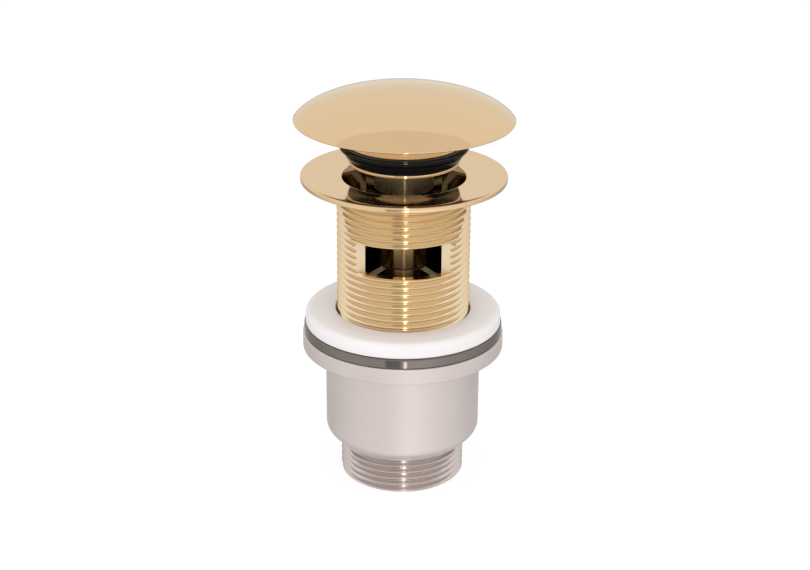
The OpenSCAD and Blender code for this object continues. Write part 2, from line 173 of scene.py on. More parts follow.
def pick(piece):
    """Selects one piece alone."""
    deselect()
    bpy.context.view_layer.objects.active = piece
    piece.select_set(True)


def oval(centre, across, up, start, end, steps):
    """Points of an ellipse's arc in the (radius, height) plane; angles in degrees."""
    out = []
    for i in range(steps + 1):
        a = math.radians(start + (end - start) * i / steps)
        out.append((centre[0] + across * math.cos(a), centre[1] + up * math.sin(a)))
    return out


def arc(centre, r, start, end, steps):
    """Points of a circle's arc in the (radius, height) plane; angles in degrees."""
    return oval(centre, r, r, start, end, steps)


def draw(name, points):
    """Starts a piece as one point and extrudes it along an outline in the XZ plane, in millimetres."""
    deselect()
    bpy.ops.mesh.primitive_plane_add(size=MM, location=(0, 0, 0))
    piece = bpy.context.object
    piece.name = name
    piece.data.name = name
    bpy.ops.object.mode_set(mode="EDIT")
    bpy.ops.mesh.select_all(action="SELECT")
    bpy.ops.mesh.merge(type="CENTER")
    bpy.ops.transform.translate(value=(points[0][0] * MM, 0, points[0][1] * MM))
    for a, b in zip(points, points[1:]):
        step = ((b[0] - a[0]) * MM, 0, (b[1] - a[1]) * MM)
        bpy.ops.mesh.extrude_region_move(TRANSFORM_OT_translate={"value": step})
    return piece


def clean(piece):
    """Merges doubles and turns the faces outwards, in edit mode, then leaves it."""
    bpy.ops.mesh.select_all(action="SELECT")
    bpy.ops.mesh.remove_doubles(threshold=JOIN)
    bpy.ops.mesh.select_all(action="SELECT")
    bpy.ops.mesh.normals_make_consistent(inside=False)
    bpy.ops.object.mode_set(mode="OBJECT")
    return piece


def turn(name, points, around=AROUND):
    """Turns an outline round the axis, as on a lathe; one that ends on the axis is closed by it."""
    on_axis = points[0][0] == 0 and points[-1][0] == 0
    piece = draw(name, list(points) + ([] if on_axis else [points[0]]))
    bpy.ops.mesh.select_all(action="SELECT")
    bpy.ops.mesh.remove_doubles(threshold=FINE_JOIN)
    bpy.ops.mesh.select_all(action="SELECT")
    bpy.ops.mesh.spin(steps=around, dupli=False, angle=2 * math.pi, center=(0, 0, 0), axis=(0, 0, 1))
    return clean(piece)


def block(name, corner_low, corner_high):
    """A box between two corners, in millimetres."""
    deselect()
    bpy.ops.mesh.primitive_cube_add(size=MM, location=(0, 0, 0))
    piece = bpy.context.object
    piece.name = name
    bpy.ops.object.mode_set(mode="EDIT")
    bpy.ops.mesh.select_all(action="SELECT")
    size = [b - a for a, b in zip(corner_low, corner_high)]
    middle = [(a + b) / 2 * MM for a, b in zip(corner_low, corner_high)]
    bpy.ops.transform.resize(value=size)
    bpy.ops.transform.translate(value=middle)
    return clean(piece)


def apply_modifiers(piece):
    """Applies all modifiers of a piece, in order."""
    pick(piece)
    for modifier in list(piece.modifiers):
        bpy.ops.object.modifier_apply(modifier=modifier.name)


def combine(piece, other, operation):
    """Joins, cuts or trims a piece with another one, which is used up."""
    modifier = piece.modifiers.new("combine", "BOOLEAN")
    modifier.operation = operation
    modifier.object = other
    modifier.solver = "EXACT"
    apply_modifiers(piece)
    mesh = other.data
    bpy.data.objects.remove(other)
    bpy.data.meshes.remove(mesh)
    if not piece.data.polygons:
        raise RuntimeError("nothing is left of " + piece.name)


def thread_outline(root, depth, pitch):
    """One turn of a rounded pipe thread, from root to root, at height 0."""
    # The flank, as shares of the pitch and of the depth
    rise = [(0.0, 0.0), (0.06, 0.05), (0.12, 0.19), (0.25, 0.5), (0.38, 0.81), (0.44, 0.95)]
    up = [(root + depth * d, pitch * f) for f, d in rise]
    down = [(root + depth * d, pitch * (1 - f)) for f, d in reversed(rise)]
    return up + [(root + depth, pitch / 2)] + down


def threaded_bar(name, crest, z0, z1):
    """A solid bar with an outside thread, cut square at both ends."""
    depth, pitch, spare = sizes().thread_depth / MM, sizes().pitch / MM, 2
    turns = int((z1 - z0) / pitch) + 2 * spare
    piece = draw(name, thread_outline(crest - depth, depth, pitch))
    bpy.ops.mesh.select_all(action="SELECT")
    bpy.ops.transform.translate(value=(0, 0, (z0 - spare * pitch) * MM))
    bpy.ops.object.mode_set(mode="OBJECT")
    row = piece.modifiers.new("turns", "ARRAY")
    row.count = turns
    row.use_relative_offset = False
    row.use_constant_offset = True
    row.constant_offset_displace = (0, 0, pitch * MM)
    row.use_merge_vertices = True
    row.merge_threshold = JOIN
    sweep = piece.modifiers.new("sweep", "SCREW")
    sweep.axis = "Z"
    sweep.angle = 2 * math.pi
    sweep.screw_offset = pitch * MM
    sweep.steps = AROUND
    sweep.render_steps = AROUND
    apply_modifiers(piece)
    bpy.ops.object.mode_set(mode="EDIT")
    bpy.ops.mesh.select_all(action="SELECT")
    bpy.ops.mesh.remove_doubles(threshold=JOIN)
    for z, normal in ((z0, -1), (z1, 1)):
        bpy.ops.mesh.select_all(action="SELECT")
        bpy.ops.mesh.bisect(plane_co=(0, 0, z * MM), plane_no=(0, 0, normal), use_fill=True,
                            clear_outer=True, threshold=FINE_JOIN)
    return clean(piece)


def finish_piece(piece, body, materials, node, smooth=35):
    """Shades a piece, gives it its materials and puts it on its body in place of a frame node."""
    pick(piece)
    bpy.ops.object.shade_smooth_by_angle(angle=math.radians(smooth))
    piece.data.materials.clear()
    for material in materials:
        piece.data.materials.append(material)
    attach(piece, body)
    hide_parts(node)


# Finishes


def new_group(name, inputs, outputs):
    """A shader node group with float inputs, given as (name, default), and float outputs."""
    group = bpy.data.node_groups.new(name, "ShaderNodeTree")
    for label, value in inputs:
        socket = group.interface.new_socket(label, in_out="INPUT", socket_type="NodeSocketFloat")
        socket.default_value = value
    for label in outputs:
        group.interface.new_socket(label, in_out="OUTPUT", socket_type="NodeSocketFloat")
    return group, group.nodes.new("NodeGroupInput"), group.nodes.new("NodeGroupOutput")


def maths(tree, operation, a, b=None, clamp=False):
    """A maths node on one or two numbers or sockets."""
    node = tree.nodes.new("ShaderNodeMath")
    node.operation = operation
    node.use_clamp = clamp
    for socket, value in zip(node.inputs, (a, b)):
        if value is None:
            continue
        if isinstance(value, (int, float)):
            socket.default_value = value
        else:
            tree.links.new(value, socket)
    return node.outputs[0]


def smudge_group():
    """Soft uneven patches, as hands and polishing leave them, from 0 to 1."""
    group, enter, leave = new_group("Soft patches", [("Scale", 60.0), ("Contrast", 1.0)], ["Patches"])
    where = group.nodes.new("ShaderNodeTexCoord")
    noise = group.nodes.new("ShaderNodeTexNoise")
    noise.inputs["Detail"].default_value = 4.0
    noise.inputs["Roughness"].default_value = 0.55
    group.links.new(where.outputs["Object"], noise.inputs["Vector"])
    group.links.new(enter.outputs["Scale"], noise.inputs["Scale"])
    centred = maths(group, "SUBTRACT", noise.outputs["Fac"], 0.5)
    spread = maths(group, "MULTIPLY", centred, enter.outputs["Contrast"])
    group.links.new(maths(group, "ADD", spread, 0.5, True), leave.inputs["Patches"])
    return group


def lathe_group():
    """Fine lines that run round the axis, as a lathe tool leaves them."""
    group, enter, leave = new_group("Lathe lines", [("Lines per metre", 6000.0)], ["Lines"])
    where = group.nodes.new("ShaderNodeTexCoord")
    split = group.nodes.new("ShaderNodeSeparateXYZ")
    group.links.new(where.outputs["Object"], split.inputs[0])
    across = maths(group, "SQRT", maths(group, "ADD", maths(group, "POWER", split.outputs["X"], 2.0),
                                        maths(group, "POWER", split.outputs["Y"], 2.0)))
    place = group.nodes.new("ShaderNodeCombineXYZ")
    group.links.new(across, place.inputs["X"])
    group.links.new(split.outputs["Z"], place.inputs["Y"])
    noise = group.nodes.new("ShaderNodeTexNoise")
    noise.noise_dimensions = "2D"
    noise.inputs["Detail"].default_value = 2.0
    group.links.new(place.outputs[0], noise.inputs["Vector"])
    group.links.new(enter.outputs["Lines per metre"], noise.inputs["Scale"])
    group.links.new(noise.outputs["Fac"], leave.inputs["Lines"])
    return group


def grain_group():
    """Fine even grain, as blasting, moulding or pressing leaves it."""
    group, enter, leave = new_group("Fine grain", [("Scale", 4000.0)], ["Grain"])
    where = group.nodes.new("ShaderNodeTexCoord")
    noise = group.nodes.new("ShaderNodeTexNoise")
    noise.inputs["Detail"].default_value = 3.0
    noise.inputs["Roughness"].default_value = 0.65
    group.links.new(where.outputs["Object"], noise.inputs["Vector"])
    group.links.new(enter.outputs["Scale"], noise.inputs["Scale"])
    group.links.new(noise.outputs["Fac"], leave.inputs["Grain"])
    return group


def effect(name, maker):
    """A node group, made when it is first asked for."""
    return bpy.data.node_groups.get(name) or maker()


def place_group(tree, group, **values):
    """Places a node group in a material, with its own values."""
    node = tree.nodes.new("ShaderNodeGroup")
    node.node_tree = group
    for label, value in values.items():
        node.inputs[label.replace("_", " ")].default_value = value
    return node


def between(tree, mask, low_value, high_value):
    """A value that runs between two limits with a mask."""
    node = tree.nodes.new("ShaderNodeMapRange")
    tree.links.new(mask, node.inputs["Value"])
    node.inputs["To Min"].default_value = low_value
    node.inputs["To Max"].default_value = high_value
    return node.outputs["Result"]


def tint(tree, mask, colour_a, colour_b):
    """A colour that runs between two with a mask."""
    node = tree.nodes.new("ShaderNodeMix")
    node.data_type = "RGBA"
    tree.links.new(mask, node.inputs["Factor"])
    for socket in node.inputs:
        if socket.type == "RGBA":
            socket.default_value = (*(colour_a if socket.name == "A" else colour_b), 1.0)
    return next(s for s in node.outputs if s.type == "RGBA")


def shade(rgb, factor):
    """A colour made paler or darker."""
    return tuple(min(1.0, c * factor) for c in rgb)


def bump(tree, height, strength, distance):
    """A normal bent by a height; the distance is in metres."""
    node = tree.nodes.new("ShaderNodeBump")
    node.inputs["Strength"].default_value = strength
    node.inputs["Distance"].default_value = distance
    tree.links.new(height, node.inputs["Height"])
    return node.outputs["Normal"]


def new_material(name):
    """A new material, its node tree and its shader."""
    material = bpy.data.materials.new(name)
    material.use_nodes = True
    return material, material.node_tree, material.node_tree.nodes["Principled BSDF"]


def polished_metal(name, rgb, rough, spread, lines=0.0, grooves=0.0, edge=(0.87, 0.86, 0.82)):
    """Mirror-bright plating with soft patches and, where it was turned, lathe lines or a turned gloss."""
    material, tree, surface = new_material(name)
    patches = place_group(tree, effect("Soft patches", smudge_group), Scale=45.0, Contrast=1.6)
    mask = patches.outputs["Patches"]
    tone = tint(tree, mask, shade(rgb, 1 - spread), shade(rgb, 1 + spread))
    tree.links.new(tone, surface.inputs["Base Color"])
    tree.links.new(between(tree, mask, *rough), surface.inputs["Roughness"])
    surface.inputs["Metallic"].default_value = 1.0
    surface.inputs["Specular Tint"].default_value = (*edge, 1.0)
    if lines:
        marks = place_group(tree, effect("Lathe lines", lathe_group), Lines_per_metre=5000.0)
        normal = bump(tree, marks.outputs["Lines"], strength=lines, distance=0.02 * MM)
        tree.links.new(normal, surface.inputs["Normal"])
    if grooves:
        quarter_turn = 0.25
        round_axis = tree.nodes.new("ShaderNodeTangent")
        round_axis.direction_type = "RADIAL"
        round_axis.axis = "Z"
        surface.inputs["Anisotropic"].default_value = grooves
        surface.inputs["Anisotropic Rotation"].default_value = quarter_turn
        tree.links.new(round_axis.outputs["Tangent"], surface.inputs["Tangent"])
    return material


def satin_metal(name, rgb, rough, metal, spread=0.06):
    """Blasted and plated metal: even grain and a broad soft gloss."""
    material, tree, surface = new_material(name)
    patches = place_group(tree, effect("Soft patches", smudge_group), Scale=70.0, Contrast=1.4)
    grain = place_group(tree, effect("Fine grain", grain_group), Scale=5000.0)
    patch_share = 0.6
    mask = maths(tree, "ADD", maths(tree, "MULTIPLY", patches.outputs["Patches"], patch_share),
                 maths(tree, "MULTIPLY", grain.outputs["Grain"], 1 - patch_share))
    tone = tint(tree, mask, shade(rgb, 1 - spread), shade(rgb, 1 + spread))
    tree.links.new(tone, surface.inputs["Base Color"])
    tree.links.new(between(tree, mask, *rough), surface.inputs["Roughness"])
    surface.inputs["Metallic"].default_value = metal
    normal = bump(tree, grain.outputs["Grain"], strength=0.12, distance=0.03 * MM)
    tree.links.new(normal, surface.inputs["Normal"])
    return material


def rubber(name, rgb, rough, grain_scale, depth, gloss=0.5):
    """Moulded rubber or plastic: fine grain and faint patches."""
    material, tree, surface = new_material(name)
    patches = place_group(tree, effect("Soft patches", smudge_group), Scale=90.0, Contrast=1.3)
    grain = place_group(tree, effect("Fine grain", grain_group), Scale=grain_scale)
    darkest, palest = 0.96, 1.03
    tone = tint(tree, patches.outputs["Patches"], shade(rgb, darkest), shade(rgb, palest))
    tree.links.new(tone, surface.inputs["Base Color"])
    tree.links.new(between(tree, grain.outputs["Grain"], *rough), surface.inputs["Roughness"])
    surface.inputs["Specular IOR Level"].default_value = gloss
    normal = bump(tree, grain.outputs["Grain"], strength=depth, distance=0.04 * MM)
    tree.links.new(normal, surface.inputs["Normal"])
    return material


# Each finish: how it is made, which of the colours it takes, and its values
FINISHES = {
    "polished_gold": (polished_metal, "gold", {"rough": (0.05, 0.1), "spread": 0.02}),
    "threaded_gold": (polished_metal, "gold_deep",
                      {"rough": (0.09, 0.15), "spread": 0.05, "lines": 0.1, "edge": (0.7, 0.57, 0.4)}),
    "turned_gold": (polished_metal, "gold_turned", {"rough": (0.21, 0.24), "spread": 0.02, "grooves": 1.0}),
    # Turned gold made darker, as painted shade under the plug
    "skirt_gold": (polished_metal, "gold_skirt_shaded", {"rough": (0.21, 0.24), "spread": 0.02, "grooves": 1.0}),
    # Paler gold as a painted highlight on the flare
    "flare_gold": (polished_metal, "gold_flare_highlight", {"rough": (0.08, 0.14), "spread": 0.02}),
    # Darkened gold as painted shade inside the tube and its mouth
    "bore_gold": (polished_metal, "gold_bore_shaded",
                  {"rough": (0.06, 0.12), "spread": 0.06, "edge": (0.7, 0.55, 0.36)}),
    # Milled satin, paler as a painted highlight
    "milled_gold": (satin_metal, "gold_milled_and_lit", {"rough": (0.4, 0.55), "metal": 0.6}),
    "satin_nickel": (satin_metal, "nickel", {"rough": (0.46, 0.56), "metal": 0.9}),
    # Turned nickel made darker, partly painted shade on the low tail
    "turned_nickel": (polished_metal, "nickel_tail_shaded",
                      {"rough": (0.13, 0.2), "spread": 0.05, "lines": 0.15, "edge": (0.45, 0.43, 0.42)}),
    # Polished ring with a dark base, a painted dark reflection
    "polished_ring": (polished_metal, "ring", {"rough": (0.04, 0.08), "spread": 0.04, "lines": 0.1}),
    "bright_steel": (polished_metal, "steel", {"rough": (0.15, 0.28), "spread": 0.05, "lines": 0.2}),
    "turned_brass": (polished_metal, "brass", {"rough": (0.18, 0.3), "spread": 0.06, "lines": 0.25}),
    "washer_rubber": (rubber, "washer", {"rough": (0.42, 0.6), "grain_scale": 2500.0, "depth": 0.08}),
    # Black rubber of the seals, also laid on the plug's underside as painted shade
    "seal_rubber": (rubber, "seal",
                    {"rough": (0.1, 0.15), "grain_scale": 3000.0, "depth": 0.02, "gloss": 0.11}),
    "moulded_acetal": (rubber, "acetal", {"rough": (0.35, 0.5), "grain_scale": 2000.0, "depth": 0.06}),
    "pressed_fibre": (rubber, "fibre", {"rough": (0.6, 0.8), "grain_scale": 1500.0, "depth": 0.3}),
}


def finish(name):
    """One of the object's finishes, made when it is first asked for."""
    maker, tone, values = FINISHES[name]
    return bpy.data.materials.get(name) or maker(name, tuple(getattr(colours(), tone)), **values)


# Pieces


class WASTE_OT_mushroom_cap(bpy.types.Operator):
    """Turn the domed cap of the plug"""

    bl_idname = "waste.mushroom_cap"
    bl_label = "Mushroom Cap"

    def execute(self, context):
        s = sizes()
        r, top, bottom = radius("mushroom_cap"), high("mushroom_cap"), low("mushroom_cap")
        dome, edge, lip, wall, pad = s.dome_height / MM, 0.6, 2.0, 2.8, radius("plug_body")
        rim, reach = top - dome, r + s.dome_reach / MM
        share = math.sqrt(1 - (r / reach) ** 2)
        full = dome / (1 - share)
        rim_angle = math.degrees(math.acos(r / reach))
        outside = oval((0, rim - full * share), reach, full, 90, rim_angle, 60)
        under = oval((r - lip / 2, rim), lip / 2, edge, -12, -96, 7)
        hollow = oval((0, rim - edge), r - lip, dome + edge - wall, 4, 44, 10)
        hollow = [point for point in hollow if point[0] > pad]
        foot = [(pad, hollow[-1][1]), (pad, bottom), (0.0, bottom)]
        piece = turn("cap_dome", outside + under + hollow + foot)
        finish_piece(piece, "plug", [finish("polished_gold")], "mushroom_cap", 40)
        return {"FINISHED"}


class WASTE_OT_plug_body(bpy.types.Operator):
    """Turn the neck, rim and guide skirt of the plug"""

    bl_idname = "waste.plug_body"
    bl_label = "Plug Body"

    def execute(self, context):
        s = sizes()
        top, seal_top, seal_low = high("plug_body"), high("plug_seal") - SEAL_DROP, low("plug_seal")
        pad, neck, groove = radius("plug_body"), s.plug_neck / MM, s.seal_groove / MM
        rim_thick, rim_wide, rim_soft = 1.0, 2.8, 0.2
        rim_low, rim_r, skirt_low = seal_low - rim_thick, groove + rim_wide, low("plug_body")
        skirt, hollow, skirt_soft, root = 9.8, 8.1, 0.25, 0.6
        outline = [(0.0, rim_low), (hollow, rim_low), (hollow, skirt_low)]
        outline += arc((skirt - skirt_soft, skirt_low + skirt_soft), skirt_soft, -90, 0, 4)
        outline += arc((skirt + root, rim_low - root), root, 180, 90, 6)
        outline += arc((rim_r - rim_soft, rim_low + rim_soft), rim_soft, -90, 0, 6)
        outline += arc((rim_r - rim_soft, seal_low - rim_soft), rim_soft, 0, 90, 6)
        outline += [(groove, seal_low), (groove, seal_top), (neck, seal_top), (pad, top), (0.0, top)]
        piece = turn("plug_turned_body", outline)
        names = ("polished_gold", "skirt_gold", "flare_gold", "seal_rubber")
        finish_piece(piece, "plug", [finish(name) for name in names], "plug_body", 35)
        near, underside = 0.1, rim_r - root
        for face in piece.data.polygons:
            c = face.center / MM
            out = math.hypot(c.x, c.y)
            # The flare above the seal takes the paler gold, a painted highlight
            if c.z > seal_top:
                face.material_index = names.index("flare_gold")
            # The guide skirt takes the darker gold, painted shade under the plug
            elif out < skirt + near:
                face.material_index = names.index("skirt_gold")
            # The underside of the rim and the floor of the hollow take the black rubber: painted shade
            # under the plug, which the flange mirrors
            elif c.z < rim_low + near and out < underside:
                face.material_index = names.index("seal_rubber")
        return {"FINISHED"}


class WASTE_OT_plug_seal(bpy.types.Operator):
    """Turn the rubber seal of the plug"""

    bl_idname = "waste.plug_seal"
    bl_label = "Plug Seal"

    def execute(self, context):
        s = sizes()
        bottom, top, r = low("plug_seal"), high("plug_seal") - SEAL_DROP, radius("plug_seal")
        groove, neck = s.seal_groove / MM, s.plug_neck / MM
        wide, lip_high, soft, bead, bead_rise = 3.0, 3.85, 0.2, 0.45, 0.52
        foot, lip = groove + wide, bottom + lip_high
        cone = foot + (lip - bottom) * SEAT_SLOPE
        # Groove under the lip: distance down the cone, depth, and height below the lip
        ring = [(1.35, 0.0, 1.35), (1.1, 0.05, 1.08), (0.95, 0.25, 0.9),
                (0.8, 0.6, 0.75), (0.3, 0.6, 0.25), (0.1, 0.14, 0.06)]
        # Shoulder from the lip to the neck: distance outside the neck, and below the top
        shoulder = [(0.9, 0.42), (0.4, 0.12), (0.0, 0.0)]
        outline = [(groove, bottom), (foot - soft, bottom), (foot, bottom + soft)]
        outline += [(cone - along * SEAT_SLOPE - deep, lip - down) for along, deep, down in ring]
        outline += [(cone, lip)] + arc((r - bead, lip + bead_rise), bead, -60, 75, 10)
        outline += [(neck + out, top - down) for out, down in shoulder] + [(groove, top)]
        piece = turn("cone_seal", outline)
        finish_piece(piece, "plug", [finish("seal_rubber")], "plug_seal", 50)
        return {"FINISHED"}


def spider(z_low, z_high, bore):
    """Boss and three falling ribs inside the tube, as one solid."""
    boss, boss_bore, boss_soft = radius("cartridge_housing"), 6.7, 0.08
    ribs, thick, fall, step = 3, 3.0, 4.9, 0.3
    into_boss, into_tube = 0.45, 0.6
    outline = [(boss_bore, z_low), (boss, z_low)]
    outline += arc((boss - boss_soft, z_high - boss_soft), boss_soft, 0, 90, 4) + [(boss_bore, z_high)]
    piece = turn("spider", outline)
    inner, outer = boss - into_boss, bore + into_tube
    rib = [(inner, z_low), (outer, z_low), (outer, z_high - fall), (inner, z_high - step), (inner, z_low)]
    for i in range(ribs):
        blade = draw("rib", rib)
        bpy.ops.mesh.select_all(action="SELECT")
        bpy.ops.mesh.remove_doubles(threshold=FINE_JOIN)
        bpy.ops.mesh.select_all(action="SELECT")
        bpy.ops.mesh.edge_face_add()
        bpy.ops.mesh.extrude_region_move(TRANSFORM_OT_translate={"value": (0, thick * MM, 0)})
        bpy.ops.mesh.select_all(action="SELECT")
        bpy.ops.transform.translate(value=(0, -thick / 2 * MM, 0))
        angle = -math.radians(90 + 360 / ribs * i)
        bpy.ops.transform.rotate(value=angle, orient_axis="Z", center_override=(0, 0, 0))
        clean(blade)
        combine(piece, blade, "UNION")
    return piece


class WASTE_OT_flange_tube(bpy.types.Operator):
    """Model the flange, the threaded tube, its slots and the spider"""

    bl_idname = "waste.flange_tube"
    bl_label = "Flange and Tube"

    def execute(self, context):
        s = sizes()
        bore, mouth, dish = s.tube_bore / MM, s.seat_mouth / MM, s.flange_dish / MM
        lip, edge, plane = s.lip_round / MM, s.edge_round / MM, s.slot_plane / MM
        slot_low, slot_high = s.slot_low / MM, s.slot_high / MM
        rim, bottom, r = high("flange_tube"), low("flange_tube"), radius("flange_tube")
        thick, crest, overlap = 1.8, 22.16, 0.5
        neck, neck_high, neck_soft, fillet = 22.36, 3.0, 0.2, 0.5
        under, seat = rim - thick, rim - dish
        neck_low = under - neck_high
        piece = threaded_bar("flange_and_tube", crest, bottom, neck_low + overlap)
        outline = [(0.0, neck_low), (neck - neck_soft, neck_low), (neck, neck_low + neck_soft)]
        outline += arc((neck + fillet, under - fillet), fillet, 180, 90, 5)
        outline += arc((r - edge, under + edge), edge, -90, 0, 6)
        outline += arc((r - edge, rim - edge), edge, 0, 90, 6)
        outline += [(r - 1.6, rim - 0.03), (r - 3.0, rim - 0.12)]
        outline += [(mouth + 4.0, seat + 0.08), (mouth + 2.0, seat), (0.0, seat)]
        combine(piece, turn("flange", outline), "UNION")
        lip_r = mouth + lip * (math.sqrt(1 + SEAT_SLOPE * SEAT_SLOPE) - SEAT_SLOPE)
        tilt = math.degrees(math.atan(SEAT_SLOPE))
        below, above, past = bottom - 1, seat + 6, 30.0
        cut = [(0.0, below), (bore, below), (bore, seat - (mouth - bore) / SEAT_SLOPE)]
        cut += arc((lip_r, seat - lip), lip, 180 - tilt, 90, 8)
        cut += [(lip_r, above), (0.0, above)]
        combine(piece, turn("bore", cut), "DIFFERENCE")
        for side in (-1, 1):
            ends = sorted((side * plane, side * past))
            slot = block("slot", (-past, ends[0], slot_low), (past, ends[1], slot_high))
            combine(piece, slot, "DIFFERENCE")
        boss, spider_top = radius("cartridge_housing"), slot_low - 2.3
        combine(piece, spider(low("cartridge_housing"), spider_top, bore), "UNION")
        names = ("polished_gold", "threaded_gold", "bore_gold", "milled_gold", "turned_gold")
        finishes = [finish(name) for name in names]
        finish_piece(piece, "waste_body", finishes, "flange_tube", 32)
        for face in piece.data.polygons:
            c, n = face.center / MM, face.normal
            out = math.hypot(c.x, c.y)
            in_mouth = c.z > neck_low and n.x * c.x + n.y * c.y < -0.6 * out
            in_spider = c.z < spider_top + 0.1 and out < bore
            name = "polished_gold"
            # The milled ends of the slots take the paler satin gold, partly a painted highlight
            if abs(abs(c.y) - plane) < 0.05 and abs(n.y) > 0.99 and out > bore:
                name = "milled_gold"
            # The bore and the mouth of the seat take the dark gold, painted shade
            elif bore - 0.3 < out < bore + 0.2 or in_mouth:
                name = "bore_gold"
            elif c.z < neck_low and out > bore:
                name = "threaded_gold"
            elif in_spider and out < boss + 0.05:
                name = "turned_gold"
            # Rib faces that face up take the paler milled gold as painted light, their sides the dark gold
            # as painted shade
            elif in_spider:
                name = "milled_gold" if n.z > 0.3 else "bore_gold"
            face.material_index = names.index(name)
        return {"FINISHED"}


def wound_wire(name, line, wire, z_low, z_high, turns):
    """A round wire wound into a coil along the axis, closed at its ends."""
    sides, steps = 14, 32
    coil = draw(name, arc((line, z_low), wire, 0, 360, sides))
    bpy.ops.mesh.select_all(action="SELECT")
    bpy.ops.mesh.remove_doubles(threshold=JOIN)
    bpy.ops.object.mode_set(mode="OBJECT")
    sweep = coil.modifiers.new("sweep", "SCREW")
    sweep.axis = "Z"
    sweep.iterations = turns
    sweep.screw_offset = (z_high - z_low) / turns * MM
    sweep.steps = steps
    sweep.render_steps = steps
    apply_modifiers(coil)
    bpy.ops.object.mode_set(mode="EDIT")
    bpy.ops.mesh.select_all(action="DESELECT")
    bpy.ops.mesh.select_non_manifold()
    bpy.ops.mesh.edge_face_add()
    return clean(coil)


class WASTE_OT_cartridge(bpy.types.Operator):
    """Model the barrel and the spring of the cartridge and finish its inner pieces"""

    bl_idname = "waste.cartridge"
    bl_label = "Cartridge"

    def execute(self, context):
        bottom, top = low("cartridge_housing"), high("cartridge_housing")
        shoulder, step = high("cartridge_washer"), low("cam_sleeve")
        barrel, spigot, chamber, inner, soft = radius("cartridge_housing"), 6.65, 5.85, 6.5, 0.08
        flat_deep, flat_high, past, above, around = 0.5, 5.0, 12.0, top + 2, 96
        outline = [(chamber, bottom), (spigot, bottom), (spigot, shoulder)]
        outline += arc((barrel - soft, shoulder + soft), soft, -90, 0, 4)
        outline += [(barrel, top), (inner, top), (inner, step), (chamber, step)]
        housing = turn("cartridge_barrel", outline, around)
        for side in (-1, 1):
            ends = sorted((side * (barrel - flat_deep), side * past))
            flat = block("flat", (ends[0], -past, top - flat_high), (ends[1], past, above))
            combine(housing, flat, "DIFFERENCE")
        finish_piece(housing, "waste_body", [finish("turned_gold")], "cartridge_housing")
        seat, roof = high("spring_seat"), high("return_spring")
        wire, turns, gap = 0.4, 7, 0.05
        line = radius("return_spring") - wire
        coil = wound_wire("return_coil", line, wire, seat + wire + gap, roof - wire, turns)
        finish_piece(coil, "waste_body", [finish("bright_steel")], "return_spring", 50)
        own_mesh(coil)
        finishes = {
            "bright_steel": ("push_rod", "collar_pin", "spring_washer"),
            "turned_brass": ("rod_lock_nut", "gland_nut", "spring_seat"),
            "moulded_acetal": ("thrust_collar", "index_rotor", "cam_sleeve"),
            "seal_rubber": ("rod_o_ring",),
            "pressed_fibre": ("cartridge_washer",),
        }
        for name, nodes in finishes.items():
            for node in nodes:
                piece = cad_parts[node]
                piece.data.materials.clear()
                piece.data.materials.append(finish(name))
        return {"FINISHED"}


class WASTE_OT_washers(bpy.types.Operator):
    """Turn the white basin washer and the polished slip ring"""

    bl_idname = "waste.washers"
    bl_label = "Washers"

    def execute(self, context):
        hole = 22.66
        bottom, top, r = low("basin_washer"), high("basin_washer"), radius("basin_washer")
        top_round, foot_round, hole_round = 2.2, 0.6, 0.35
        outline = [(hole, bottom)] + arc((r - foot_round, bottom + foot_round), foot_round, -90, 0, 6)
        outline += arc((r - top_round, top - top_round), top_round, 0, 90, 12)
        outline += arc((hole + hole_round, top - hole_round), hole_round, 90, 180, 6)
        washer = turn("white_washer", outline)
        finish_piece(washer, "clamp_stack", [finish("washer_rubber")], "basin_washer", 50)
        bottom, top, r = low("slip_ring"), high("slip_ring"), radius("slip_ring")
        soft = 0.3
        outline = [(hole, bottom)] + arc((r - soft, bottom + soft), soft, -90, 0, 5)
        outline += arc((r - soft, top - soft), soft, 0, 90, 5) + [(hole, top)]
        ring = turn("bright_slip_ring", outline)
        finish_piece(ring, "clamp_stack", [finish("polished_ring")], "slip_ring", 35)
        return {"FINISHED"}


